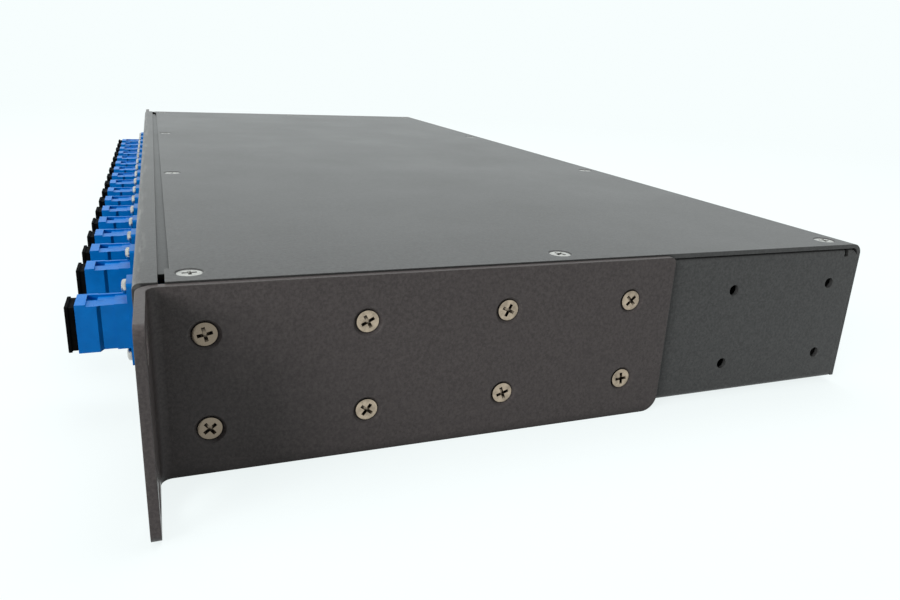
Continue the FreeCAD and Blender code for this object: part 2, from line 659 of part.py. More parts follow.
def adapter():
    """One simplex adapter: flange, stepped body, two sockets and the sleeve between them."""
    body = newBody("input_adapter")
    place(body, moveX=portX, moveZ="dims.port_high")

    def block(wide, tall, start, length, midZ="0"):
        section = sketchOn(body, "XZ_Plane", start)
        rectangle(section, wide, tall, "0", midZ)
        pad(body, section, length)

    block("dims.waist_w", "dims.waist_tall", "-dims.adapter_rear",
          "dims.adapter_rear + dims.adapter_reach")
    block("dims.adapter_w", "dims.adapter_tall", "dims.adapter_reach - dims.collar_long",
          "dims.collar_long")
    block("dims.adapter_w", "dims.adapter_tall", "-dims.adapter_rear",
          "dims.adapter_rear + dims.flange_thick")
    block("dims.root_w", "dims.root_tall", "dims.flange_thick", "dims.root_long")
    block("dims.adapter_w", "dims.flange_tall", "0", "dims.flange_thick")
    roundEdges(body, "dims.flange_corner", lambda p, d: abs(d.y) > 0.9
               and near(abs(p.x), size("adapter_w") / 2)
               and near(abs(p.z), size("flange_tall") / 2))

    # ridge along the top, from the collar to the flange
    ridge = sketchOn(body, "XZ_Plane", "dims.flange_thick")
    left, top = "(-dims.waist_w / 2)", "(dims.adapter_tall / 2)"
    polygon(ridge, [(left, "0"), (f"{left} + dims.ridge_w", "0"),
                    (f"{left} + dims.ridge_w", top), (left, top)])
    pad(body, ridge, "dims.adapter_reach - dims.flange_thick - dims.collar_long / 2")

    # dark notch in the top, behind the collar
    notch = sketchOn(body, "XY_Plane", f"{top} + 1")
    front = "(dims.collar_long - dims.adapter_reach)"
    polygon(notch, [(f"{left} + dims.ridge_w", front),
                    (f"{left} + dims.ridge_w + dims.notch_w", front),
                    (f"{left} + dims.ridge_w + dims.notch_w", f"{front} + dims.notch_long"),
                    (f"{left} + dims.ridge_w", f"{front} + dims.notch_long")])
    pocket(body, notch, "1 + (dims.adapter_tall - dims.waist_tall) / 2 + dims.notch_deep")

    mouth = sketchOn(body, "XZ_Plane", "dims.adapter_reach")
    rectangle(mouth, "dims.socket_w", "dims.socket_tall")
    pocket(body, mouth, "dims.sleeve_back")
    around = sketchOn(body, "XZ_Plane", "dims.adapter_reach - dims.sleeve_back")
    rectangle(around, "dims.socket_w", "dims.socket_tall")
    circle(around, "dims.sleeve_dia")
    pocket(body, around, "dims.socket_deep - dims.sleeve_back")
    inside = sketchOn(body, "XZ_Plane", "-dims.adapter_rear")
    rectangle(inside, "dims.socket_w", "dims.socket_tall")
    pocket(body, inside, "dims.socket_deep", reverse=True)
    bore = sketchOn(body, "XZ_Plane", "dims.adapter_reach")
    circle(bore, "dims.sleeve_bore")
    pocket(body, bore, "dims.adapter_reach + dims.adapter_rear")

    key = sketchOn(body, "XZ_Plane", "dims.adapter_reach")
    rectangle(key, "dims.adapter_w / 2", "dims.key_tall", "-dims.adapter_w / 2")
    pocket(body, key, "dims.key_long")

    holes = sketchOn(body, "XZ_Plane", "dims.flange_thick")
    for side in ("", "-"):
        circle(holes, "dims.port_screw_dia + dims.shank_clear", "0",
               f"{side}dims.port_screw_rows / 2")
    pocket(body, holes, "dims.flange_thick")
    return body


def dustCap():
    """A cap with a rim, a neck and a hollow stub that fits the adapter's socket."""
    body = newBody("input_cap")
    place(body, moveX=portX, moveZ="dims.port_high")
    mouth = "dims.adapter_reach"
    sections = (
        ("dims.cap_neck_w", "dims.cap_neck_tall", mouth, "dims.cap_neck"),
        ("dims.cap_rim_w", "dims.cap_rim_tall", f"{mouth} + dims.cap_neck", "dims.cap_rim"),
        ("dims.socket_w - 2 * dims.cap_clear", "dims.socket_tall - 2 * dims.cap_clear",
         f"{mouth} - dims.cap_stub", "dims.cap_stub"),
    )
    for wide, tall, start, length in sections:
        section = sketchOn(body, "XZ_Plane", start)
        rectangle(section, f"({wide})", f"({tall})")
        pad(body, section, length)
    hollow = sketchOn(body, "XZ_Plane", f"{mouth} - dims.cap_stub")
    circle(hollow, "dims.cap_bore")
    pocket(body, hollow, "dims.cap_stub + dims.cap_neck - dims.cap_floor", reverse=True)
    return body


def splitterModule():
    """The sealed splitter box, bonded to the tray's floor."""
    body = newBody("splitter_module")
    place(body)
    outline = sketchOn(body, "XY_Plane", "dims.sheet")
    rectangle(outline, "dims.module_w", "dims.module_d", "0",
              f"({rearY} - dims.sheet - dims.module_back - dims.module_d / 2)")
    pad(body, outline, "dims.module_tall")
    roundEdges(body, "dims.module_corner", lambda p, d: abs(d.z) > 0.9)
    return body


def fibrePath(start, end):
    """Straight lead, bend, straight run, bend, straight lead, all tangent."""
    ahead = FreeCAD.Vector(0, 1, 0)
    offset = FreeCAD.Vector(end.x - start.x, 0, end.z - start.z)
    lead = size("fibre_lead")
    run, shift = end.y - start.y - 2 * lead, offset.Length
    room = (run ** 2 + shift ** 2) / (4 * shift)
    bend = min(size("fibre_bend"), size("fibre_fill") * room)
    sideways = offset / shift
    straight = math.sqrt(run ** 2 + shift ** 2 - 4 * bend * shift)
    turn = math.atan2(2 * bend, straight) + math.atan2(shift - 2 * bend, run)

    def bent(angle):
        return ahead * (bend * math.sin(angle)) + sideways * (bend * (1 - math.cos(angle)))

    first, last = start + ahead * lead, end - ahead * lead
    afterFirst, beforeLast = first + bent(turn), last - bent(turn)
    return Part.Wire([
        Part.LineSegment(start, first).toShape(),
        Part.Arc(first, first + bent(turn / 2), afterFirst).toShape(),
        Part.LineSegment(afterFirst, beforeLast).toShape(),
        Part.Arc(beforeLast, last - bent(turn / 2), last).toShape(),
        Part.LineSegment(last, end).toShape(),
    ])


def pigtail(number, label):
    """A plug, its boot and the fibre that joins it to the splitter module, bonded in one."""
    back = FreeCAD.Vector(0, 1, 0)
    outputs = int(size("outputs"))
    portMid = (size("input_gap") + (outputs - 1) * size("port_pitch")) / 2
    across = portMid - (size("input_gap") + (number - 1) * size("port_pitch") if number else 0)
    middle = FreeCAD.Vector(across, 0, size("port_high"))

    wide = size("socket_w") - 2 * size("plug_clear")
    tall = size("socket_tall") - 2 * size("plug_clear")
    tip = size("adapter_rear") - size("socket_deep") + size("plug_end_gap")
    corner = middle + FreeCAD.Vector(-wide / 2, tip, -tall / 2)
    plug = Part.makeBox(wide, size("plug_long"), tall, corner)
    ferrule = Part.makeCylinder(size("ferrule_dia") / 2, size("ferrule_long"),
                                middle + back * (tip - size("ferrule_long")), back)
    plugEnd = middle + back * (tip + size("plug_long"))
    boot = Part.makeCone(size("boot_dia") / 2, size("boot_tip") / 2, size("boot_long"),
                         plugEnd, back)

    bootEnd = plugEnd + back * size("boot_long")
    moduleFront = (size("body_d") - size("cover_sheet") - size("sheet") - size("module_back")
                   - size("module_d"))
    entry = FreeCAD.Vector((outputs / 2 - number) * size("module_pitch"), moduleFront,
                           size("sheet") + size("module_tall") / 2)
    ring = Part.Wire(Part.makeCircle(size("fibre_dia") / 2, bootEnd, back))
    fibre = fibrePath(bootEnd, entry).makePipeShell([ring], True, False)

    piece = doc.addObject("Part::Feature", label)
    piece.Label = label
    piece.Shape = plug.multiFuse([ferrule, boot, fibre]).removeSplitter()
    place(piece)
    subParts.append(piece)
    return piece


def main():
    chassisTray()
    topCover()
    rackEars()
    earScrews()
    coverScrews()
    adapterScrews()
    firstAdapter = adapter()
    firstCap = dustCap()
    for number, label in enumerate(portLabels("adapter")[1:], start=1):
        copyOf(firstAdapter, label, portPlace(number))
    for number, label in enumerate(portLabels("cap")[1:], start=1):
        copyOf(firstCap, label, portPlace(number))
    splitterModule()
    for number, label in enumerate(portLabels("pigtail")):
        pigtail(number, label)
    doc.recompute()
    save()


def save():
    """Check every object and every sub-part, then write one STEP file for each."""
    for item in doc.Objects:
        if "Invalid" in item.State or "Error" in item.State:
            raise RuntimeError(f"{item.Label} is {item.State}")
    for piece in subParts:
        if piece.Shape.isNull() or not piece.Shape.isValid():
            raise RuntimeError(f"{piece.Label} has no valid shape")
    os.makedirs("parts", exist_ok=True)
    for piece in subParts:
        piece.Shape.exportStep(f"parts/{piece.Label}.step")
    print(f"{len(subParts)} sub-parts written")


main()
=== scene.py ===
import bpy
import bmesh
import math
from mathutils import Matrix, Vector


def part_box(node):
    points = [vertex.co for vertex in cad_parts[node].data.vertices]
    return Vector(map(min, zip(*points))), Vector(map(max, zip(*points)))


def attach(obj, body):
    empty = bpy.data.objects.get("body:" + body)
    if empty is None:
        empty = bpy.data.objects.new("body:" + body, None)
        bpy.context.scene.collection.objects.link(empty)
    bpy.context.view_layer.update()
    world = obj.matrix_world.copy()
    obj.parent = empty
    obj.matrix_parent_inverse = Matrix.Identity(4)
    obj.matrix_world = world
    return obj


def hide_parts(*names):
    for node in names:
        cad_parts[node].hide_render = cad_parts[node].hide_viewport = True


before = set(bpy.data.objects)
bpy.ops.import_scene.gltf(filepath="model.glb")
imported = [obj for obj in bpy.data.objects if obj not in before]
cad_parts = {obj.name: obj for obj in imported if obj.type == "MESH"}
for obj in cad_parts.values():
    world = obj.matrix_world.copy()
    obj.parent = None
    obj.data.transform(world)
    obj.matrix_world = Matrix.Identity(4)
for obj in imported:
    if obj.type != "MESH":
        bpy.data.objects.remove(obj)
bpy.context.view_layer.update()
scene = bpy.context.scene
mm = 0.001


# shader helpers: values named here go straight onto the shader's own sockets
def newMaterial(name, values):
    material = bpy.data.materials.new(name)
    material.use_nodes = True
    shader = material.node_tree.nodes["Principled BSDF"]
    for label, value in values.items():
        shader.inputs[label].default_value = value
    return material, shader


def addNode(tree, kind, inputs=None, **settings):
    node = tree.nodes.new(kind)
    for label, value in settings.items():
        setattr(node, label, value)
    for label, value in (inputs or {}).items():
        feed(tree, node, label, value)
    return node


def feed(tree, node, label, value):
    if isinstance(value, bpy.types.NodeSocket):
        tree.links.new(value, node.inputs[label])
    elif isinstance(value, bpy.types.Node):
        tree.links.new(value.outputs[0], node.inputs[label])
    else:
        node.inputs[label].default_value = value


def calc(tree, operation, *values, clamp=False):
    node = tree.nodes.new("ShaderNodeMath")
    node.operation = operation
    node.use_clamp = clamp
    for k, value in enumerate(values):
        feed(tree, node, k, value)
    return node.outputs[0]


def vectorMath(tree, operation, *values):
    node = tree.nodes.new("ShaderNodeVectorMath")
    node.operation = operation
    for k, value in enumerate(values):
        feed(tree, node, "Scale" if operation == "SCALE" and k == 1 else k, value)
    measured = operation in ("DOT_PRODUCT", "LENGTH")
    return node.outputs["Value" if measured else 0]


def split(tree, value):
    return addNode(tree, "ShaderNodeSeparateXYZ", {0: value}).outputs


def noise(tree, spot, scale, detail=4.0, roughness=0.6):
    return addNode(tree, "ShaderNodeTexNoise",
                   {"Vector": spot, "Scale": scale, "Detail": detail,
                    "Roughness": roughness}).outputs["Fac"]


def spread(tree, value, fromLow, fromHigh, toLow, toHigh):
    return addNode(tree, "ShaderNodeMapRange",
                   {"Value": value, "From Min": fromLow, "From Max": fromHigh,
                    "To Min": toLow, "To Max": toHigh}).outputs[0]


def blendColours(tree, share, first, second):
    node = addNode(tree, "ShaderNodeMix", {0: share, 6: first, 7: second}, data_type="RGBA")
    return node.outputs[2]


def bump(tree, height, strength, distance, below=None):
    inputs = {"Height": height, "Strength": strength, "Distance": distance}
    if below is not None:
        inputs["Normal"] = below
    return addNode(tree, "ShaderNodeBump", inputs).outputs[0]


def objectSpot(tree):
    return addNode(tree, "ShaderNodeTexCoord").outputs["Object"]


# 1 in the open, less in hollows and close to a neighbour
def openShare(tree, reach):
    return addNode(tree, "ShaderNodeAmbientOcclusion", {"Distance": reach},
                   samples=6).outputs["AO"]


# powder coat: a fine sandy grain over a faint orange peel, with dust and rubbed patches, edges
# lightened partly by wear and partly by a painted highlight, and painted shade with some grime in
# corners and gaps
coat = {
    "dark": (0.042, 0.042, 0.042, 1.0),
    "light": (0.070, 0.071, 0.070, 1.0),
    "dust": (0.20, 0.20, 0.19, 1.0),
    "grainScale": 1500.0,
    "peelScale": 420.0,
    "patchScale": 22.0,
    "grainDeep": 0.05 * mm,
    "peelDeep": 0.03 * mm,
    "roughness": (0.325, 0.375),
    "shine": 0.18,
    "edgeRadius": 0.35 * mm,
    "edgeWear": 0.5,           # how far edges lighten, partly wear and partly a painted highlight
    "cornerReach": 2.6 * mm,   # painted shade with some grime darkens this near to a corner or a gap
    "cornerGrime": 0.55,
    "grimeColour": (0.006, 0.006, 0.006, 1.0),
    "rubScale": 520.0,         # rub marks along the front lip
    "rubStretch": (0.10, 1.0, 1.0),
    "rubWear": 0.50,
    "rubDeep": 3.0 * mm,       # front of the part to the inner end of the rubs
    "rubReach": 1.4 * mm,      # the rubs fade out over this much before that end
    "rubDrop": 1.0 * mm,       # they lie this near to the top, and fade in over as much
}


def powderCoat(name, tint=(1.0, 1.0, 1.0), dust=0.06, rubbedLip=None):
    material, shader = newMaterial(name, {"Metallic": 0.0, "IOR": 1.5,
                                          "Specular IOR Level": coat["shine"]})
    tree = material.node_tree
    spot = objectSpot(tree)
    grain = noise(tree, spot, coat["grainScale"], 3.0, 0.7)
    peel = noise(tree, spot, coat["peelScale"], 2.0, 0.5)
    patch = noise(tree, spot, coat["patchScale"], 5.0, 0.55)
    dark = [coat["dark"][k] * tint[k] for k in range(3)] + [1.0]
    light = [coat["light"][k] * tint[k] for k in range(3)] + [1.0]
    speckle = spread(tree, grain, 0.35, 0.68, 0.0, 1.0)
    colour = blendColours(tree, speckle, dark, light)
    dusty = calc(tree, "MULTIPLY", spread(tree, patch, 0.50, 0.78, 0.0, dust),
                 spread(tree, grain, 0.4, 0.7, 0.3, 1.0))
    colour = blendColours(tree, dusty, colour, coat["dust"])
    edged = addNode(tree, "ShaderNodeBevel", {"Radius": coat["edgeRadius"]}, samples=4)
    plain = addNode(tree, "ShaderNodeNewGeometry").outputs["Normal"]
    turned = vectorMath(tree, "DOT_PRODUCT", edged, plain)
    # edges lighten towards the dust colour: partly wear, partly a painted highlight
    wearAndEdgeHighlight = calc(tree, "MULTIPLY", spread(tree, turned, 0.99, 0.80, 0.0, coat["edgeWear"]),
                spread(tree, patch, 0.42, 0.62, 0.1, 1.0))
    if rubbedLip:
        axes = split(tree, spot)
        inner, top = rubbedLip
        inward = spread(tree, axes[1], inner - coat["rubReach"], inner, 1.0, 0.0)
        onLip = calc(tree, "MULTIPLY", inward,
                     spread(tree, axes[2], top - coat["rubDrop"], top, 0.0, 1.0))
        # the rubs run along the lip
        drawn = vectorMath(tree, "MULTIPLY", spot, coat["rubStretch"])
        rubs = spread(tree, noise(tree, drawn, coat["rubScale"], 3.0, 0.65), 0.50, 0.66,
                      0.0, coat["rubWear"])
        wearAndEdgeHighlight = calc(tree, "MAXIMUM", wearAndEdgeHighlight, calc(tree, "MULTIPLY", onLip, rubs))
    # the lighter edges (wear and painted highlight) and the lip's rubs take the dust colour
    colour = blendColours(tree, wearAndEdgeHighlight, colour, coat["dust"])
    # painted shade with some grime: corners, gaps and contact lines darken by ambient occlusion
    grime = spread(tree, openShare(tree, coat["cornerReach"]), 0.45, 0.95,
                   coat["cornerGrime"], 0.0)
    colour = blendColours(tree, grime, colour, coat["grimeColour"])
    tree.links.new(colour, shader.inputs["Base Color"])
    low, high = coat["roughness"]
    tree.links.new(spread(tree, patch, 0.3, 0.7, low, high), shader.inputs["Roughness"])
    under = bump(tree, peel, 0.5, coat["peelDeep"], edged)
    tree.links.new(bump(tree, grain, 0.8, coat["grainDeep"], under), shader.inputs["Normal"])
    return material


# moulded plastics: a satin skin with faint flow marks and handling scuffs
skin = {"flowScale": 240.0, "grainScale": 2600.0, "scuffScale": 900.0}
plastics = {
    "adapterBlue": {"low": (0.0, 0.125, 0.43, 1.0), "high": (0.0, 0.155, 0.52, 1.0),
                    "roughness": (0.26, 0.42), "shine": 0.12, "grainDeep": 0.008 * mm},
    "capBlack": {"low": (0.002, 0.002, 0.002, 1.0), "high": (0.005, 0.005, 0.005, 1.0),
                 "roughness": (0.60, 0.75), "shine": 0.02, "grainDeep": 0.02 * mm},
    "moduleCase": {"low": (0.62, 0.62, 0.60, 1.0), "high": (0.74, 0.74, 0.72, 1.0),
                   "roughness": (0.50, 0.65), "shine": 0.5, "grainDeep": 0.03 * mm},
    "pigtailJacket": {"low": (0.66, 0.66, 0.64, 1.0), "high": (0.78, 0.78, 0.76, 1.0),
                      "roughness": (0.35, 0.5), "shine": 0.5, "grainDeep": 0.01 * mm},
}


def mouldedPlastic(name):
    values = plastics[name]
    material, shader = newMaterial(name, {"Metallic": 0.0, "IOR": 1.46,
                                          "Specular IOR Level": values["shine"]})
    tree = material.node_tree
    spot = objectSpot(tree)
    flow = noise(tree, spot, skin["flowScale"], 3.0, 0.5)
    grain = noise(tree, spot, skin["grainScale"], 2.0, 0.6)
    scuff = noise(tree, spot, skin["scuffScale"], 6.0, 0.75)
    colour = blendColours(tree, spread(tree, flow, 0.3, 0.7, 0.0, 1.0),
                          values["low"], values["high"])
    tree.links.new(colour, shader.inputs["Base Color"])
    low, high = values["roughness"]
    tree.links.new(spread(tree, scuff, 0.35, 0.65, low, high), shader.inputs["Roughness"])
    tree.links.new(bump(tree, grain, 0.6, values["grainDeep"]), shader.inputs["Normal"])
    return material


# plated screws: stained and finely scratched, with grime and painted shade in the hollows
wear = {
    "stainScale": 520.0,
    "scratchScale": 3200.0,
    "scratchDeep": 0.01 * mm,
    "hollowReach": 0.9 * mm,
    "tarnishFrom": (-0.075, -0.045),   # the darkening fades between these places, front to back
}
plating = {
    "darkNickel": {"clean": (0.47, 0.38, 0.29, 1.0), "grime": (0.035, 0.028, 0.022, 1.0),
                   "roughness": (0.20, 0.40), "grimeShare": 0.50, "tarnish": 0.60},
    "brightNickel": {"clean": (0.66, 0.64, 0.61, 1.0), "grime": (0.06, 0.056, 0.05, 1.0),
                     "roughness": (0.18, 0.38), "grimeShare": 0.45, "tarnish": 0.0},
}


def platedSteel(name):
    values = plating[name]
    material, shader = newMaterial(name, {"Metallic": 1.0})
    tree = material.node_tree
    spot = objectSpot(tree)
    stain = noise(tree, spot, wear["stainScale"], 5.0, 0.65)
    scratch = noise(tree, spot, wear["scratchScale"], 4.0, 0.7)
    share = spread(tree, stain, 0.38, 0.70, 0.0, values["grimeShare"])
    # painted shade with some grime: the cross's recess darkens by ambient occlusion
    hollow = spread(tree, openShare(tree, wear["hollowReach"]), 0.50, 0.88, 1.0, 0.0)
    share = calc(tree, "MAXIMUM", share, hollow)
    # the screws nearest the front are darkest
    tarnish = spread(tree, split(tree, spot)[1], *wear["tarnishFrom"], values["tarnish"], 0.0)
    share = calc(tree, "MAXIMUM", share, tarnish)
    colour = blendColours(tree, share, values["clean"], values["grime"])
    tree.links.new(colour, shader.inputs["Base Color"])
    low, high = values["roughness"]
    tree.links.new(spread(tree, scratch, 0.3, 0.7, low, high), shader.inputs["Roughness"])
    tree.links.new(bump(tree, scratch, 0.4, wear["scratchDeep"]), shader.inputs["Normal"])
    return material


coverCoat = powderCoat("coverCoat")
trayLow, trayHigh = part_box("chassis_tray")
trayCoat = powderCoat("trayCoat", rubbedLip=(trayLow[1] + coat["rubDeep"],
                                             trayHigh[2] - coat["rubDrop"]))
earCoat = powderCoat("earCoat", tint=(1.08, 0.92, 0.91))
adapterBlue = mouldedPlastic("adapterBlue")
capBlack = mouldedPlastic("capBlack")
moduleCase = mouldedPlastic("moduleCase")
pigtailJacket = mouldedPlastic("pigtailJacket")
darkNickel = platedSteel("darkNickel")
brightNickel = platedSteel("brightNickel")
print("materials made")


def dress(node, material):
    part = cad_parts[node]
    part.data.materials.clear()
    part.data.materials.append(material)


def matching(word):
    return sorted(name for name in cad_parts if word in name)


dress("top_cover", coverCoat)
dress("chassis_tray", trayCoat)
dress("rack_ear_right", earCoat)
dress("rack_ear_left", earCoat)
dress("splitter_module", moduleCase)
for word, material in (("_pigtail", pigtailJacket), ("_adapter", adapterBlue),
                       ("_cap", capBlack)):
    for node in matching(word):
        dress(node, material)
for node in matching("_screws"):
    dress(node, darkNickel if node.startswith("ear") else brightNickel)
print("sheet metal and inner pieces dressed")


# geometry-node helpers
mergeReach = 1e-6                    # corners nearer than this are one
creaseAngle = math.radians(32)       # edges that turn by more stay sharp


def newTree(name, inputs):
    tree = bpy.data.node_groups.new(name, "GeometryNodeTree")
    tree.interface.new_socket("Geometry", in_out="INPUT", socket_type="NodeSocketGeometry")
    kinds = {int: "NodeSocketInt", float: "NodeSocketFloat", tuple: "NodeSocketVector"}
    for label, value in inputs.items():
        socket = tree.interface.new_socket(label, in_out="INPUT",
                                           socket_type=kinds[type(value)])
        socket.default_value = value
    tree.interface.new_socket("Material", in_out="INPUT", socket_type="NodeSocketMaterial")
    tree.interface.new_socket("Geometry", in_out="OUTPUT", socket_type="NodeSocketGeometry")
    return tree, tree.nodes.new("NodeGroupInput").outputs


def endTree(tree, geometry, material):
    whole = addNode(tree, "GeometryNodeRealizeInstances", {"Geometry": geometry})
    tinted = addNode(tree, "GeometryNodeSetMaterial", {"Geometry": whole, "Material": material})
    addNode(tree, "NodeGroupOutput", {"Geometry": tinted})


def shadeByAngle(tree, geometry):
    smooth = addNode(tree, "GeometryNodeSetShadeSmooth",
                     {"Geometry": geometry, "Shade Smooth": True})
    angle = addNode(tree, "GeometryNodeInputMeshEdgeAngle").outputs[0]
    crease = calc(tree, "GREATER_THAN", angle, creaseAngle)
    return addNode(tree, "GeometryNodeSetShadeSmooth", {
        "Geometry": smooth, "Selection": crease, "Shade Smooth": False}, domain="EDGE")


# runs a tree on a start mesh and leaves one plain mesh
def buildPiece(name, start, tree, values, material):
    piece = bpy.data.objects.new(name, start)
    scene.collection.objects.link(piece)
    modifier = piece.modifiers.new("build", "NODES")
    modifier.node_group = tree
    for item in tree.interface.items_tree:
        if item.in_out == "INPUT" and item.name in values:
            modifier[item.identifier] = values[item.name]
        if item.in_out == "INPUT" and item.name == "Material":
            modifier[item.identifier] = material
    graph = bpy.context.evaluated_depsgraph_get()
    mesh = bpy.data.meshes.new_from_object(piece.evaluated_get(graph), depsgraph=graph)
    piece.modifiers.remove(modifier)
    piece.data = mesh
    mesh.name = name
    mesh.materials.clear()
    mesh.materials.append(material)
    mesh.polygons.foreach_set("material_index", [0] * len(mesh.polygons))
    return piece


wingTaper = (0.42, 0.7, 1.0)         # how the cross narrows towards its bottom


def crossScrewTree():
    tree, given = newTree("crossScrew", {
        "Head Radius": 3.0 * mm, "Head Height": 1.5 * mm, "Neck Radius": 1.5 * mm,
        "Crown": 0.12 * mm, "Crown Power": 6.0, "Cross Length": 3.4 * mm,
        "Cross Width": 0.75 * mm, "Cross Depth": 0.9 * mm, "Shank Radius": 1.5 * mm,
        "Shank Length": 6.0 * mm, "Sides": 32})
    head = addNode(tree, "GeometryNodeMeshCylinder", {
        "Vertices": given["Sides"], "Side Segments": 1, "Fill Segments": 7,
        "Radius": given["Head Radius"], "Depth": given["Head Height"]})
    spot = addNode(tree, "GeometryNodeInputPosition")
    axes = split(tree, spot)
    out = calc(tree, "SQRT", calc(tree, "ADD", calc(tree, "MULTIPLY", axes[0], axes[0]),
                                  calc(tree, "MULTIPLY", axes[1], axes[1])))
    share = calc(tree, "DIVIDE", out, given["Head Radius"])
    # the crown's rings crowd towards the rim, where it curves most
    eased = calc(tree, "SINE", calc(tree, "MULTIPLY", share, math.pi / 2))
    wider = calc(tree, "DIVIDE", eased, calc(tree, "MAXIMUM", share, 1e-4))
    fall = calc(tree, "SUBTRACT", 1.0, calc(tree, "POWER", eased, given["Crown Power"]))
    rise = calc(tree, "POWER", calc(tree, "MAXIMUM", fall, 0.0),
                calc(tree, "DIVIDE", 1.0, given["Crown Power"]))
    drop = calc(tree, "MULTIPLY", calc(tree, "SUBTRACT", rise, 1.0), given["Crown"])
    crownSpot = addNode(tree, "ShaderNodeCombineXYZ", {
        0: calc(tree, "MULTIPLY", axes[0], wider),
        1: calc(tree, "MULTIPLY", axes[1], wider), 2: drop})
    narrow = calc(tree, "DIVIDE", given["Neck Radius"], given["Head Radius"])
    neckSpot = addNode(tree, "ShaderNodeCombineXYZ", {
        0: calc(tree, "MULTIPLY", axes[0], narrow), 1: calc(tree, "MULTIPLY", axes[1], narrow),
        2: calc(tree, "MULTIPLY", given["Head Height"], -1.0)})
    isTop = calc(tree, "GREATER_THAN", axes[2], 0.0)
    place = addNode(tree, "GeometryNodeSwitch", {0: isTop, 1: neckSpot, 2: crownSpot},
                    input_type="VECTOR")
    head = addNode(tree, "GeometryNodeSetPosition", {"Geometry": head, "Position": place})

    # two tapering wings cut the cross
    size = addNode(tree, "ShaderNodeCombineXYZ", {
        0: given["Cross Length"], 1: given["Cross Width"],
        2: calc(tree, "MULTIPLY", given["Cross Depth"], 2.0)})
    wing = addNode(tree, "GeometryNodeMeshCube", {"Size": size})
    below = calc(tree, "LESS_THAN", axes[2], 0.0)
    taper = vectorMath(tree, "MULTIPLY", spot, wingTaper)
    wing = addNode(tree, "GeometryNodeSetPosition",
                   {"Geometry": wing, "Selection": below, "Position": taper})
    second = addNode(tree, "GeometryNodeTransform",
                     {"Geometry": wing, "Rotation": (0.0, 0.0, math.pi / 2)})
    cut = addNode(tree, "GeometryNodeMeshBoolean", {0: head, 1: wing},
                  operation="DIFFERENCE", solver="EXACT")
    tree.links.new(second.outputs[0], cut.inputs[1])

    shank = addNode(tree, "GeometryNodeMeshCylinder", {
        "Vertices": given["Sides"], "Radius": given["Shank Radius"],
        "Depth": calc(tree, "SUBTRACT", given["Shank Length"], given["Head Height"])},
        fill_type="NGON")
    lower = calc(tree, "MULTIPLY", calc(tree, "ADD", given["Shank Length"],
                                        given["Head Height"]), -0.5)
    shank = addNode(tree, "GeometryNodeTransform", {
        "Geometry": shank, "Translation": addNode(tree, "ShaderNodeCombineXYZ", {2: lower})})
    screw = addNode(tree, "GeometryNodeJoinGeometry", {0: cut})
    tree.links.new(shank.outputs[0], screw.inputs[0])
    smooth = shadeByAngle(tree, screw)

    # each start point says which way its head faces and how far its cross is turned
    facing = addNode(tree, "GeometryNodeInputNamedAttribute", {"Name": "facing"},
                     data_type="FLOAT_VECTOR")
    turn = addNode(tree, "GeometryNodeInputNamedAttribute", {"Name": "turn"},
                   data_type="FLOAT")
    aim = addNode(tree, "FunctionNodeAlignRotationToVector", {"Vector": facing.outputs[0]},
                  axis="Z")
    spin = addNode(tree, "FunctionNodeAxisAngleToRotation",
                   {"Axis": (0.0, 0.0, 1.0), "Angle": turn.outputs[0]})
    aim = addNode(tree, "FunctionNodeRotateRotation", {0: aim, 1: spin},
                  rotation_space="LOCAL")
    placed = addNode(tree, "GeometryNodeInstanceOnPoints", {
        "Points": given["Geometry"], "Instance": smooth, "Rotation": aim})
    endTree(tree, placed, given["Material"])
    return tree


# lowest and highest corner of each separate solid in a node
def solidBoxes(node):
    work = bmesh.new()
    work.from_mesh(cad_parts[node].data)
    bmesh.ops.remove_doubles(work, verts=work.verts, dist=mergeReach)
    left, boxes = set(work.verts), []
    while left:
        edge = [left.pop()]
        low, high = edge[0].co.copy(), edge[0].co.copy()
        while edge:
            vertex = edge.pop()
            for k in range(3):
                low[k] = min(low[k], vertex.co[k])
                high[k] = max(high[k], vertex.co[k])
            for link in vertex.link_edges:
                other = link.other_vert(vertex)
                if other in left:
                    left.discard(other)
                    edge.append(other)
        boxes.append((low, high))
    work.free()
    return boxes


screwKinds = {
    "earScrew": {"Head Radius": 2.68 * mm, "Head Height": 1.48 * mm, "Neck Radius": 1.4 * mm,
                 "Crown": 0.30 * mm, "Crown Power": 3.6, "Cross Length": 4.7 * mm,
                 "Cross Width": 0.92 * mm, "Cross Depth": 1.0 * mm,
                 "Shank Radius": 1.48 * mm, "Shank Length": 5.98 * mm},
    "coverScrew": {"Head Radius": 2.80 * mm, "Head Height": 1.05 * mm, "Neck Radius": 1.5 * mm,
                   "Crown": 0.24 * mm, "Crown Power": 3.6, "Cross Length": 4.5 * mm,
                   "Cross Width": 0.90 * mm, "Cross Depth": 0.9 * mm,
                   "Shank Radius": 1.48 * mm, "Shank Length": 5.98 * mm},
    "adapterScrew": {"Head Radius": 1.88 * mm, "Head Height": 1.28 * mm,
                     "Neck Radius": 1.88 * mm, "Crown": 0.75 * mm, "Crown Power": 2.4,
                     "Cross Length": 2.7 * mm, "Cross Width": 0.5 * mm,
                     "Cross Depth": 0.8 * mm, "Shank Radius": 0.98 * mm,
                     "Shank Length": 7.2 * mm, "Sides": 20},
}
screwTurns = {
    "ear_screws_right": (38, 12, 52, 28, 20, 64, 5, 44),
    "ear_screws_left": (15, 48, 33, 70, 8, 26, 60, 40),
    "cover_screws": (30, 62, 10, 45, 22, 75, 55, 5, 38, 68),
    "adapter_screws": (0, 35, 62, 18, 80, 50, 25, 70, 10, 44, 58),
}
screwTree = crossScrewTree()


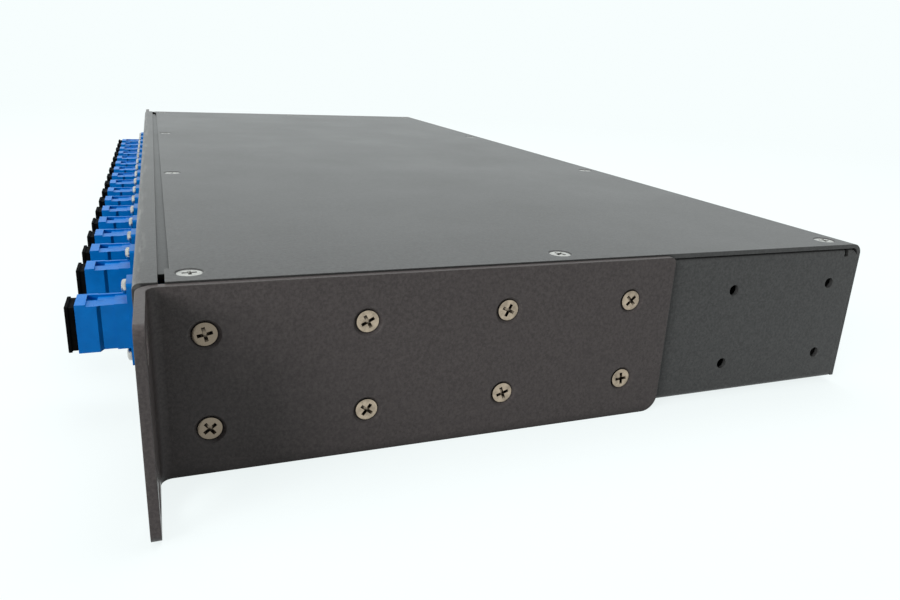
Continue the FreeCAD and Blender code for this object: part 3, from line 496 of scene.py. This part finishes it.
def screwRow(node, name, kind, facing, material):
    facing = Vector(facing)
    spots = []
    for low, high in solidBoxes(node):
        spot = (low + high) / 2
        for k in range(3):
            if facing[k]:
                spot[k] = high[k] if facing[k] > 0 else low[k]
        spots.append(spot)
    spots.sort(key=lambda p: (round(p.x, 4), round(p.y, 4), round(p.z, 4)))
    start = bpy.data.meshes.new(name)
    start.from_pydata([tuple(p) for p in spots], [], [])
    start.attributes.new("facing", "FLOAT_VECTOR", "POINT")
    start.attributes.new("turn", "FLOAT", "POINT")
    degrees = screwTurns[node]
    for k in range(len(spots)):
        start.attributes["facing"].data[k].vector = facing
        start.attributes["turn"].data[k].value = math.radians(degrees[k % len(degrees)])
    piece = buildPiece(name, start, screwTree, screwKinds[kind], material)
    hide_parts(node)
    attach(piece, "chassis")


screwRow("ear_screws_right", "earScrewsRight", "earScrew", (1, 0, 0), darkNickel)
screwRow("ear_screws_left", "earScrewsLeft", "earScrew", (-1, 0, 0), darkNickel)
screwRow("cover_screws", "coverScrews", "coverScrew", (0, 0, 1), brightNickel)
screwRow("adapter_screws", "adapterScrews", "adapterScrew", (0, -1, 0), brightNickel)
print("screws made")


# adapters: one moulding with eased edges, repeated along the front wall
adapterLook = {
    "ease": 0.16 * mm,
    "segments": 2,
    "shortest": 1.9 * mm,      # edges shorter than this stay sharp
    "sharp": math.radians(60),
    "collar": 4.9 * mm,        # length of the collar round the mouth
    "waist": (8.6 * mm, 11.6 * mm),
    "ramp": 0.9 * mm,          # length of the slope from the collar to the waist
    "slack": 0.01 * mm,        # how near a corner lies to count as the collar's
    "flat": math.radians(1),   # faces that turn by less are joined
}


def easedCopy(node, name):
    work = bmesh.new()
    work.from_mesh(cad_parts[node].data)
    bmesh.ops.remove_doubles(work, verts=work.verts, dist=mergeReach)
    bmesh.ops.dissolve_limit(work, angle_limit=adapterLook["flat"], verts=work.verts,
                             edges=work.edges)
    low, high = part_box(node)
    middle = (Vector(low) + Vector(high)) / 2
    # the collar slopes down to the waist
    halfWide, halfTall = (value / 2 for value in adapterLook["waist"])
    slack = adapterLook["slack"]
    mouth = (middle.x, low[1], middle.z)
    for vertex in work.verts:
        wide, back, tall = (abs(vertex.co[k] - mouth[k]) for k in range(3))
        atCollar = abs(back - adapterLook["collar"]) < slack
        if atCollar and tall < halfTall + slack and abs(wide - halfWide) < slack:
            vertex.co.y += adapterLook["ramp"]
    eased = []
    for edge in work.edges:
        if len(edge.link_faces) != 2 or edge.calc_length() < adapterLook["shortest"]:
            continue
        centre = (edge.verts[0].co + edge.verts[1].co) / 2 - middle
        outward = sum((face.normal for face in edge.link_faces), Vector()).dot(centre) > 0
        if edge.is_convex and outward and edge.calc_face_angle() > adapterLook["sharp"]:
            eased.append(edge)
    bmesh.ops.bevel(work, geom=eased, offset=adapterLook["ease"], profile=0.5,
                    segments=adapterLook["segments"], affect="EDGES", clamp_overlap=True)
    mesh = bpy.data.meshes.new(name)
    work.to_mesh(mesh)
    work.free()
    for polygon in mesh.polygons:
        polygon.use_smooth = False
    return mesh


# the key slot opens in the collar's top, halfway along it
keyLook = {
    "Step Size": (8.6 * mm, 3.45 * mm, 1.0 * mm),
    "Step Middle": (0.9 * mm, 4.175 * mm, 6.3 * mm),
    "Slot Size": (3.4 * mm, 2.45 * mm, 1.6 * mm),
    "Slot Middle": (-1.9 * mm, 3.675 * mm, 5.8 * mm),
    "Fill Size": (3.4 * mm, 1.7 * mm, 0.9 * mm),
    "Fill Middle": (-1.9 * mm, 5.7 * mm, 5.34 * mm),
}


def rowTree():
    tree, given = newTree("adapterRow", {
        "Outputs": 16, "Gap": 33.0 * mm, "Pitch": 21.0 * mm, "Mouth": (0.0, 0.0, 0.0), **keyLook})
    blocks = {}
    for label in ("Step", "Slot", "Fill"):
        block = addNode(tree, "GeometryNodeMeshCube", {"Size": given[f"{label} Size"]})
        middle = vectorMath(tree, "ADD", given["Mouth"], given[f"{label} Middle"])
        blocks[label] = addNode(tree, "GeometryNodeTransform",
                                {"Geometry": block, "Translation": middle})
    filled = addNode(tree, "GeometryNodeMeshBoolean", {}, operation="UNION", solver="EXACT")
    for part in (given["Geometry"], blocks["Fill"].outputs[0]):
        tree.links.new(part, filled.inputs[1])
    keyed = addNode(tree, "GeometryNodeMeshBoolean", {0: filled}, operation="DIFFERENCE",
                    solver="EXACT")
    for label in ("Step", "Slot"):
        tree.links.new(blocks[label].outputs[0], keyed.inputs[1])
    first = addNode(tree, "ShaderNodeCombineXYZ", {0: calc(tree, "MULTIPLY", given["Gap"], -1.0)})
    step = addNode(tree, "ShaderNodeCombineXYZ", {0: calc(tree, "MULTIPLY", given["Pitch"], -1.0)})
    line = addNode(tree, "GeometryNodeMeshLine", {
        "Count": given["Outputs"], "Start Location": first, "Offset": step})
    row = addNode(tree, "GeometryNodeInstanceOnPoints", {"Points": line, "Instance": keyed})
    both = addNode(tree, "GeometryNodeJoinGeometry", {0: row})
    tree.links.new(keyed.outputs[0], both.inputs[0])
    endTree(tree, both, given["Material"])
    return tree


def portSpot(label):
    low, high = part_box(label)
    return (Vector(low) + Vector(high)) / 2


adapters = matching("_adapter")
outputs = [node for node in adapters if node.startswith("output")]
firstX, secondX = (portSpot(f"output_adapter_{k:02d}").x for k in (1, 2))
inputSpot = portSpot("input_adapter")
adapterRow = buildPiece("adapterRow", easedCopy("input_adapter", "adapterRow"), rowTree(), {
    "Outputs": len(outputs), "Gap": inputSpot.x - firstX, "Pitch": firstX - secondX,
    "Mouth": (inputSpot.x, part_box("input_adapter")[0][1], inputSpot.z)}, adapterBlue)
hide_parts(*adapters)
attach(adapterRow, "chassis")
print("adapters made")


# dust caps: a soft rim and neck, and the hollow stub that plugs the socket
capLook = {
    "Rim Size": (9.0 * mm, 0.9 * mm, 12.0 * mm), "Neck Size": (8.5 * mm, 1.4 * mm, 11.3 * mm),
    "Stub Size": (7.2 * mm, 6.0 * mm, 8.8 * mm), "Bore Radius": 2.7 * mm,
    "Bore Depth": 5.9 * mm, "Ease": 0.2 * mm, "Stub Ease": 0.4 * mm,
}


blockRings = 10                      # vertices along each edge of a soft block


# a block with every edge rounded: three rings of each edge lie on the rounding, and one
# just inside it keeps the flat faces flat
def softBlock(tree, size, radius, centre):
    cube = addNode(tree, "GeometryNodeMeshCube", {
        "Size": (2.0, 2.0, 2.0), "Vertices X": blockRings, "Vertices Y": blockRings,
        "Vertices Z": blockRings})
    share = addNode(tree, "GeometryNodeInputPosition").outputs[0]
    side = vectorMath(tree, "SIGN", share)
    zone = vectorMath(tree, "MULTIPLY_ADD", vectorMath(tree, "ABSOLUTE", share),
                      (1.5, 1.5, 1.5), (-0.5, -0.5, -0.5))
    turned = vectorMath(tree, "MAXIMUM", zone, (0.0, 0.0, 0.0))
    bend = vectorMath(tree, "TANGENT", vectorMath(tree, "SCALE", turned, math.pi / 4))
    around = addNode(tree, "ShaderNodeCombineXYZ", {0: radius, 1: radius, 2: radius})
    flat = vectorMath(tree, "SUBTRACT", vectorMath(tree, "SCALE", size, 0.5), around)
    inner = vectorMath(tree, "SCALE", vectorMath(tree, "MINIMUM", zone, (0.0, 0.0, 0.0)), radius)
    corner = vectorMath(tree, "MULTIPLY", vectorMath(tree, "ADD", flat, inner), side)
    away = vectorMath(tree, "NORMALIZE", vectorMath(tree, "MULTIPLY", bend, side))
    spot = vectorMath(tree, "ADD", corner, vectorMath(tree, "SCALE", away, radius))
    return addNode(tree, "GeometryNodeSetPosition", {
        "Geometry": cube, "Position": spot, "Offset": centre})


def capTree():
    tree, given = newTree("dustCap", capLook)
    deep = {}
    for label in ("Rim Size", "Neck Size", "Stub Size"):
        deep[label] = split(tree, given[label])[1]
    neckEnd = calc(tree, "MULTIPLY", deep["Neck Size"], -1.0)
    overlap = calc(tree, "MULTIPLY", deep["Rim Size"], 0.5)

    def along(value):
        return addNode(tree, "ShaderNodeCombineXYZ", {1: value})

    rimMiddle = calc(tree, "SUBTRACT", neckEnd, overlap)
    rim = softBlock(tree, given["Rim Size"], given["Ease"], along(rimMiddle))
    # the neck runs on into the rim and the stub into the neck
    longNeck = vectorMath(tree, "ADD", given["Neck Size"], along(overlap))
    neck = softBlock(tree, longNeck, given["Ease"], along(calc(tree, "MULTIPLY", rimMiddle, 0.5)))
    longStub = vectorMath(tree, "ADD", given["Stub Size"], along(overlap))
    stubMiddle = calc(tree, "MULTIPLY", calc(tree, "SUBTRACT", deep["Stub Size"], overlap), 0.5)
    stub = softBlock(tree, longStub, given["Stub Ease"], along(stubMiddle))
    core = addNode(tree, "GeometryNodeMeshCylinder", {
        "Vertices": 32, "Radius": given["Bore Radius"],
        "Depth": calc(tree, "MULTIPLY", given["Bore Depth"], 2.0)})
    core = addNode(tree, "GeometryNodeTransform", {
        "Geometry": core, "Translation": along(deep["Stub Size"]),
        "Rotation": (math.pi / 2, 0.0, 0.0)})
    whole = addNode(tree, "GeometryNodeMeshBoolean", {}, operation="UNION", solver="EXACT")
    for part in (rim, neck, stub):
        tree.links.new(part.outputs[0], whole.inputs[1])
    cut = addNode(tree, "GeometryNodeMeshBoolean", {0: whole}, operation="DIFFERENCE",
                  solver="EXACT")
    tree.links.new(core.outputs[0], cut.inputs[1])
    placed = addNode(tree, "GeometryNodeInstanceOnPoints", {
        "Points": given["Geometry"], "Instance": shadeByAngle(tree, cut)})
    endTree(tree, placed, given["Material"])
    return tree


# each cap sits on its adapter's mouth and rides on its own body
dustCap = capTree()
for node in matching("_cap"):
    low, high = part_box(node)
    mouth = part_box(node.replace("_cap", "_adapter"))[0][1]
    start = bpy.data.meshes.new(node)
    start.from_pydata([((low[0] + high[0]) / 2, mouth, (low[2] + high[2]) / 2)], [], [])
    cap = buildPiece(f"{node}_moulded", start, dustCap, capLook, capBlack)
    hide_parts(node)
    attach(cap, f"{node.replace('_cap', '')}_cap_body")
print("dust caps made")


# soft studio light
studio = {
    "pale": (0.93, 0.99, 0.99, 1.0),
    "world": 0.22,
    "floorColour": (0.55, 0.58, 0.58, 1.0),
    "floorSize": 12.0,
    "floorShade": 0.14,
    "shadeReach": (0.25, 0.9),     # the floor's shading fades out between these distances
}
# each lamp's place, aim, size and strength
lamps = {
    "overhead": {"at": (-0.3, 0.3, 1.5), "to": (0.0, 0.0, 0.0), "size": (1.6, 1.2),
                 "watts": 26.0},
    "front": {"at": (0.2, -1.4, 0.9), "to": (0.1, 0.0, 0.02), "size": (1.0, 0.6),
              "watts": 7.0},
    "side": {"at": (1.20, -1.55, 0.80), "to": (0.2, 0.0, 0.02), "size": (0.8, 0.8),
             "watts": 30.0},
}


# rays that see the pale backdrop instead of the lit floor and the dim world
def backdropRays(tree):
    rays = addNode(tree, "ShaderNodeLightPath").outputs
    return calc(tree, "MAXIMUM", rays["Is Camera Ray"],
                calc(tree, "MAXIMUM", rays["Is Glossy Ray"], rays["Is Transmission Ray"]))


def buildStudio():
    world = bpy.data.worlds.new("studio")
    scene.world = world
    world.use_nodes = True
    tree = world.node_tree
    tree.nodes.clear()
    shown = backdropRays(tree)
    plain = addNode(tree, "ShaderNodeBackground",
                    {"Color": (1.0, 1.0, 1.0, 1.0), "Strength": studio["world"]})
    pale = addNode(tree, "ShaderNodeBackground", {"Color": studio["pale"], "Strength": 1.0})
    mixed = addNode(tree, "ShaderNodeMixShader", {0: shown, 1: plain, 2: pale})
    addNode(tree, "ShaderNodeOutputWorld", {"Surface": mixed})

    half = studio["floorSize"] / 2
    mesh = bpy.data.meshes.new("floor")
    mesh.from_pydata([(-half, -half, 0), (half, -half, 0), (half, half, 0), (-half, half, 0)],
                     [], [(0, 1, 2, 3)])
    floor = bpy.data.objects.new("floor", mesh)
    scene.collection.objects.link(floor)
    material = bpy.data.materials.new("floor")
    material.use_nodes = True
    tree = material.node_tree
    tree.nodes.clear()
    shown = backdropRays(tree)
    seen = blendColours(tree, shown, studio["floorColour"], studio["pale"])
    lit = addNode(tree, "ShaderNodeBsdfDiffuse", {"Color": seen})
    glow = addNode(tree, "ShaderNodeEmission", {"Color": studio["pale"], "Strength": 1.0})
    away = vectorMath(tree, "LENGTH", objectSpot(tree))
    shade = spread(tree, away, *studio["shadeReach"], studio["floorShade"], 0.0)
    share = calc(tree, "MULTIPLY", shown, calc(tree, "SUBTRACT", 1.0, shade))
    mixed = addNode(tree, "ShaderNodeMixShader", {0: share, 1: lit, 2: glow})
    addNode(tree, "ShaderNodeOutputMaterial", {"Surface": mixed})
    mesh.materials.append(material)

    for name, values in lamps.items():
        light = bpy.data.lights.new(name, "AREA")
        light.shape = "RECTANGLE"
        light.size, light.size_y = values["size"]
        light.energy = values["watts"]
        lamp = bpy.data.objects.new(name, light)
        scene.collection.objects.link(lamp)
        lamp.location = values["at"]
        lamp.visible_glossy = False        # gloss shows the backdrop alone
        aim = Vector(values["to"]) - Vector(values["at"])
        lamp.rotation_euler = aim.to_track_quat("-Z", "Y").to_euler()


# a close, wide view from the right-hand end, a little above the cover
view = {"at": (0.37001, -0.08452, 0.09042), "turn": (71.96, -2.833, 69.026), "lens": 29.573}


def buildCamera():
    camera = bpy.data.objects.new("camera", bpy.data.cameras.new("camera"))
    scene.collection.objects.link(camera)
    camera.location = view["at"]
    camera.rotation_euler = [math.radians(angle) for angle in view["turn"]]
    camera.data.lens = view["lens"]
    camera.data.sensor_width = 36.0
    camera.data.clip_start = 0.01
    scene.camera = camera


buildStudio()
buildCamera()
scene.view_settings.view_transform = "Standard"
print("studio and camera made")
